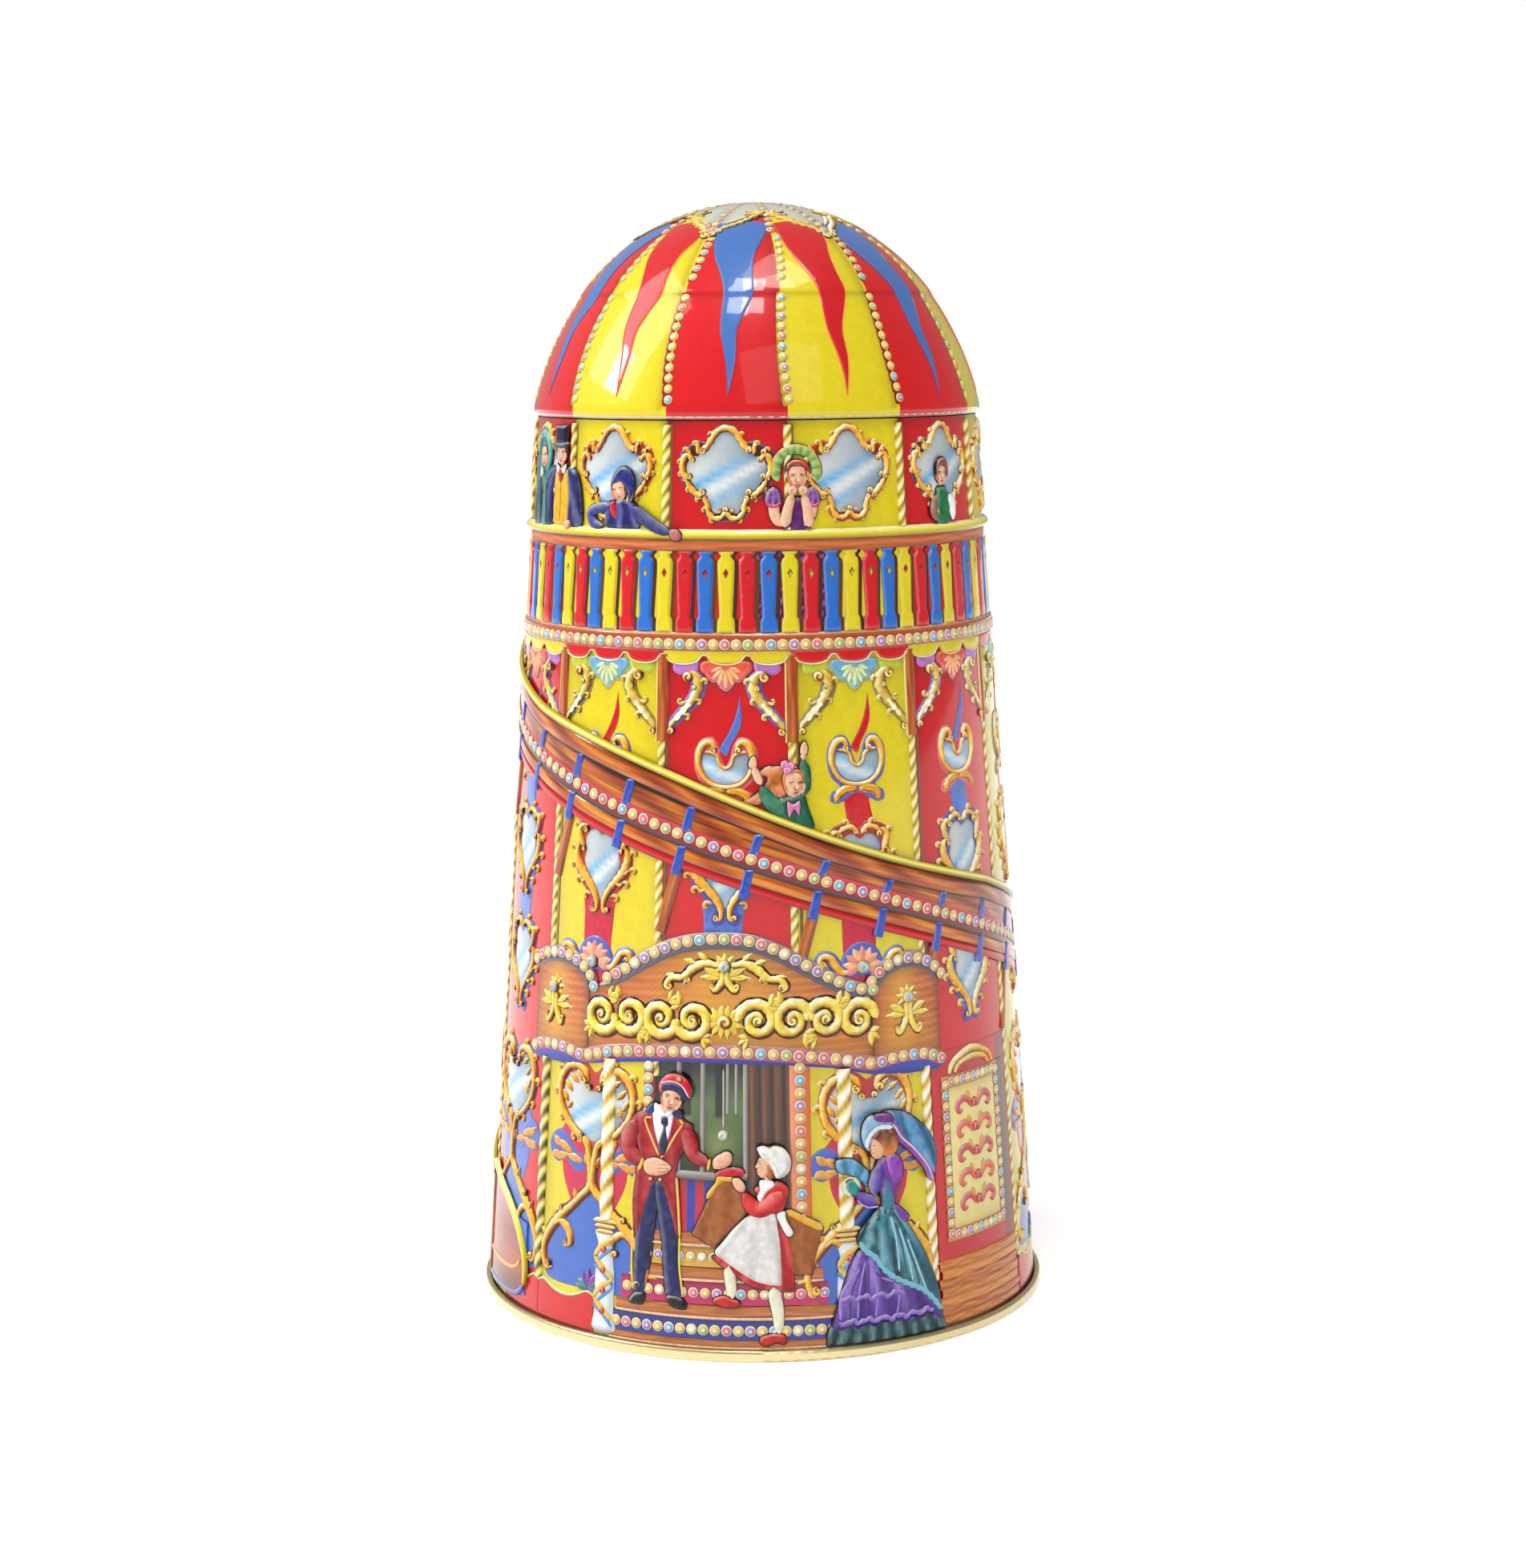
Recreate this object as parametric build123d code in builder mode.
"""Tapered printed biscuit tin in the form of a fairground slide tower.

Four sheet-metal pieces: the tapered tower body, the seamed base, the inner
neck ring and the lift-off domed lid. Millimetres, +Z up, the origin at the
centre of the flat rim the tin stands on. The front of the tower faces -Y.
"""
import os
from math import atan, degrees, radians, sin

from build123d import *

os.makedirs("parts", exist_ok=True)

# ---- sheet and overall sizes -------------------------------------------------
SHEET = 0.28            # tinplate thickness
WALL_R0 = 56.0          # outer wall radius extended down to z = 0
WALL_TAPER = 0.0705     # loss of radius per millimetre of height
BODY_TOP = 177.3        # top of the curled mouth of the body
CURL_R = 0.6            # outer radius of the curl round the mouth

# ---- ring reliefs pressed into the wall ---------------------------------------
FRIEZE_Z = (134.6, 138.0)      # lamp frieze under the balustrade
FRIEZE_PROUD = 0.5
HANDRAIL_Z = (153.4, 155.4)    # flat handrail over the balusters
HANDRAIL_PROUD = 0.35
RAIL_Z = (155.4, 157.3)        # half-round rail on the handrail
RAIL_PROUD = 0.9

# ---- slide winding round the tower ---------------------------------------------
SLIDE_PITCH = 102.2     # height lost in one turn
SLIDE_FACE = 13.0       # height of the raised band
SLIDE_PROUD = 0.5
SLIDE_FOOT_Z = 5.0      # underside of the band where it ends
SLIDE_FOOT_DEG = 212.0  # where it ends, counted round +Z from +X
SLIDE_RISE = 114.4      # from the foot up to the frieze

# ---- signboard over the doorway, (degrees to the right of the front, height) --------
BOARD_PROUD = 0.5
BOARD_ENDS = (-57.0, 41.0)
BOARD_JOINTS = (-39.5, 24.0)
BOARD_MID = -7.5
BOARD_FOOT = 56.0
BOARD_FOOT_MID = 58.5
BOARD_SHOULDER = 69.0
BOARD_CREST = 73.0
BOARD_ARCH = 79.0

# ---- folded side seam at the back ------------------------------------------------
SEAM_WIDTH = 5.0
SEAM_DEPTH = 0.45
SEAM_Z = (6.0, 172.0)

# ---- double-seamed base -----------------------------------------------------------
RIM_R = 57.5            # outside of the double seam
RIM_H = 2.3
RIM_TURN = 0.6          # rounding of the folded edges
CHUCK_R = 55.22         # inner face of the seam
HOOK_R = 56.74          # hook of the body, folded up inside the seam
HOOK_TOP = 1.75
COVER_HOOK_R = 56.26    # hook of the base, folded down between hook and wall
COVER_HOOK_Z = 0.95
PANEL_Z = 3.0           # underside of the recessed base panel
PANEL_STEP_R = 46.0
PANEL_STEP = 0.7

# ---- neck ring --------------------------------------------------------------------
NECK_SHEET = 0.25
NECK_R = 42.0           # outer radius above the body, inside the lid
NECK_SEAT_R = 42.3      # outer radius inside the curl of the body
NECK_BEAD = 0.35        # bead that keeps the ring under the curl
NECK_Z = (164.0, 183.6)
NECK_CURL_R = 0.6

# ---- domed lid --------------------------------------------------------------------
LID_Z = 177.6           # underside of the rolled hem
HEM_R = 0.95            # outer radius of the hem roll
LID_R = 44.25           # widest outer radius
HAUNCH = (40.75, 189.8)
SHOULDER = (34.9, 200.3)
CROWN_FOOT = (34.4, 201.4)
CROWN_MID = (21.0, 213.28)
CROWN_TOP = 218.8


def wall(z):
    """Outer radius of the plain tapered wall at height z."""
    return WALL_R0 - WALL_TAPER * z


def seen(angle, z):
    """Point of the wall, angle degrees right of the front, as seen from the front."""
    return (wall(z) * sin(radians(angle)), z)


# ==== raised band of the slide, pressed out of the wall of the tower =================
slide_head = SLIDE_FOOT_Z + SLIDE_FACE
with BuildPart() as slide_band:
    with BuildLine() as slide_line:
        Helix(
            pitch=SLIDE_PITCH,
            height=SLIDE_RISE,
            radius=wall(SLIDE_FOOT_Z),
            center=(0, 0, SLIDE_FOOT_Z),
            cone_angle=-degrees(atan(WALL_TAPER)),
            lefthand=True,
        )
    with BuildSketch(Plane.XZ):
        with BuildLine():
            Polyline(
                (wall(SLIDE_FOOT_Z) - SHEET / 2, SLIDE_FOOT_Z),
                (wall(SLIDE_FOOT_Z) + SLIDE_PROUD, SLIDE_FOOT_Z + 0.3),
                (wall(slide_head) + SLIDE_PROUD, slide_head - 0.3),
                (wall(slide_head) - SHEET / 2, slide_head),
                close=True,
            )
        make_face()
    sweep(path=slide_line.line, is_frenet=True)

# ==== signboard, pressed out of the front of the wall =================================
board_left, board_right = BOARD_ENDS
joint_left, joint_right = BOARD_JOINTS
with BuildPart() as signboard:
    with BuildSketch(Plane.XZ):
        with BuildLine():
            ThreePointArc(
                seen(board_left, BOARD_FOOT),
                seen(BOARD_MID, BOARD_FOOT_MID),
                seen(board_right, BOARD_FOOT),
            )
            Line(seen(board_right, BOARD_FOOT), seen(board_right, BOARD_SHOULDER))
            ThreePointArc(
                seen(board_right, BOARD_SHOULDER),
                seen((board_right + joint_right) / 2, BOARD_CREST),
                seen(joint_right, BOARD_SHOULDER),
            )
            ThreePointArc(
                seen(joint_right, BOARD_SHOULDER),
                seen(BOARD_MID, BOARD_ARCH),
                seen(joint_left, BOARD_SHOULDER),
            )
            ThreePointArc(
                seen(joint_left, BOARD_SHOULDER),
                seen((board_left + joint_left) / 2, BOARD_CREST),
                seen(board_left, BOARD_SHOULDER),
            )
            Line(seen(board_left, BOARD_SHOULDER), seen(board_left, BOARD_FOOT))
        make_face()
    extrude(amount=WALL_R0 + 10)
    with BuildSketch(Plane.XZ):
        with BuildLine():
            Polyline(
                (wall(BOARD_FOOT - 5) - SHEET / 2, BOARD_FOOT - 5),
                (wall(BOARD_FOOT - 5) + BOARD_PROUD, BOARD_FOOT - 5),
                (wall(BOARD_ARCH + 5) + BOARD_PROUD, BOARD_ARCH + 5),
                (wall(BOARD_ARCH + 5) - SHEET / 2, BOARD_ARCH + 5),
                close=True,
            )
        make_face()
    revolve(axis=Axis.Z, mode=Mode.INTERSECT)

# ==== tower body =====================================================================
curl_centre = (wall(BODY_TOP - CURL_R) - CURL_R, BODY_TOP - CURL_R)
rail_top = (wall(RAIL_Z[1]), RAIL_Z[1])
rail_mid = (wall(sum(RAIL_Z) / 2) + RAIL_PROUD, sum(RAIL_Z) / 2)
rail_foot = (wall(RAIL_Z[0]) + HANDRAIL_PROUD, RAIL_Z[0])
wall_foot = (wall(1.0), 1.0)

with BuildPart() as tower_body:
    # wall from the curled mouth down to the hook folded into the base seam
    with BuildSketch(Plane.XZ):
        with BuildLine():
            curl = CenterArc(curl_centre, CURL_R, 300, -300)
            Line(curl @ 1, rail_top)
            ThreePointArc(rail_top, rail_mid, rail_foot)
            Polyline(
                rail_foot,
                (wall(HANDRAIL_Z[0]) + HANDRAIL_PROUD, HANDRAIL_Z[0] + HANDRAIL_PROUD),
                (wall(HANDRAIL_Z[0]), HANDRAIL_Z[0]),
                (wall(FRIEZE_Z[1]), FRIEZE_Z[1]),
                (wall(FRIEZE_Z[1]) + FRIEZE_PROUD, FRIEZE_Z[1] - FRIEZE_PROUD),
                (wall(FRIEZE_Z[0]) + FRIEZE_PROUD, FRIEZE_Z[0] + FRIEZE_PROUD),
                (wall(FRIEZE_Z[0]), FRIEZE_Z[0]),
                wall_foot,
            )
            foot_turn = CenterArc((wall_foot[0] + 0.44, 1.0), 0.44, 180, 90)
            hook_turn = CenterArc((HOOK_R - 0.3, 0.86), 0.3, 270, 90)
            Line(foot_turn @ 1, hook_turn @ 0)
            Line(hook_turn @ 1, (HOOK_R, HOOK_TOP))
            offset(amount=SHEET, side=Side.RIGHT, kind=Kind.INTERSECTION)
        make_face()
    revolve(axis=Axis.Z)
    # folded side seam down the inside of the back
    with BuildSketch(Plane.YZ):
        with BuildLine():
            Polyline(
                (wall(SEAM_Z[0]) - SHEET - SEAM_DEPTH, SEAM_Z[0]),
                (wall(SEAM_Z[0]) - SHEET + 0.1, SEAM_Z[0]),
                (wall(SEAM_Z[1]) - SHEET + 0.1, SEAM_Z[1]),
                (wall(SEAM_Z[1]) - SHEET - SEAM_DEPTH, SEAM_Z[1]),
                close=True,
            )
        make_face()
    extrude(amount=SEAM_WIDTH / 2, both=True)
    add(slide_band.part, rotation=(0, 0, SLIDE_FOOT_DEG))
    add(signboard.part)
tower_body.part.label = "tower_body"
export_step(tower_body.part, "parts/tower_body.step")

# ==== base ===========================================================================
with BuildPart() as base_plate:
    with BuildSketch(Plane.XZ):
        with BuildLine():
            Line((0, PANEL_Z + PANEL_STEP), (PANEL_STEP_R, PANEL_Z + PANEL_STEP))
            Line((PANEL_STEP_R, PANEL_Z + PANEL_STEP), (PANEL_STEP_R + PANEL_STEP, PANEL_Z))
            FilletPolyline(
                (PANEL_STEP_R + PANEL_STEP, PANEL_Z),
                (CHUCK_R, PANEL_Z),
                (CHUCK_R, 0),
                (RIM_R, 0),
                (RIM_R, RIM_H),
                (COVER_HOOK_R, RIM_H),
                (COVER_HOOK_R, COVER_HOOK_Z),
                radius=RIM_TURN,
            )
            offset(amount=SHEET, side=Side.LEFT, kind=Kind.INTERSECTION)
        make_face()
    revolve(axis=Axis.Z)
base_plate.part.label = "base_plate"
export_step(base_plate.part, "parts/base_plate.step")

# ==== neck ring ======================================================================
bead_z = BODY_TOP - 2 * CURL_R - 2 * NECK_BEAD
with BuildPart() as neck_ring:
    with BuildSketch(Plane.XZ):
        with BuildLine():
            neck_curl = CenterArc(
                (NECK_R - NECK_CURL_R, NECK_Z[1] - NECK_CURL_R), NECK_CURL_R, 240, -240
            )
            Polyline(
                neck_curl @ 1,
                (NECK_R, BODY_TOP + 0.3),
                (NECK_SEAT_R, BODY_TOP - 0.1),
                (NECK_SEAT_R, bead_z + 2 * NECK_BEAD),
                (NECK_SEAT_R + NECK_BEAD, bead_z + NECK_BEAD),
                (NECK_SEAT_R + NECK_BEAD, bead_z - NECK_BEAD),
                (NECK_SEAT_R, bead_z - 2 * NECK_BEAD),
                (NECK_SEAT_R, NECK_Z[0]),
            )
            offset(amount=NECK_SHEET, side=Side.RIGHT, kind=Kind.INTERSECTION)
        make_face()
    revolve(axis=Axis.Z)
neck_ring.part.label = "neck_ring"
export_step(neck_ring.part, "parts/neck_ring.step")

# ==== lid ============================================================================
with BuildPart() as dome_lid:
    with BuildSketch(Plane.XZ):
        with BuildLine():
            ThreePointArc((0, CROWN_TOP), CROWN_MID, CROWN_FOOT)
            Line(CROWN_FOOT, SHOULDER)
            ThreePointArc(SHOULDER, HAUNCH, (LID_R, LID_Z + 2 * HEM_R))
            Line((LID_R, LID_Z + 2 * HEM_R), (LID_R, LID_Z + HEM_R))
            CenterArc((LID_R - HEM_R, LID_Z + HEM_R), HEM_R, 0, -260)
            offset(amount=SHEET, side=Side.RIGHT, kind=Kind.INTERSECTION)
        make_face()
    revolve(axis=Axis.Z)
dome_lid.part.label = "dome_lid"
export_step(dome_lid.part, "parts/dome_lid.step")
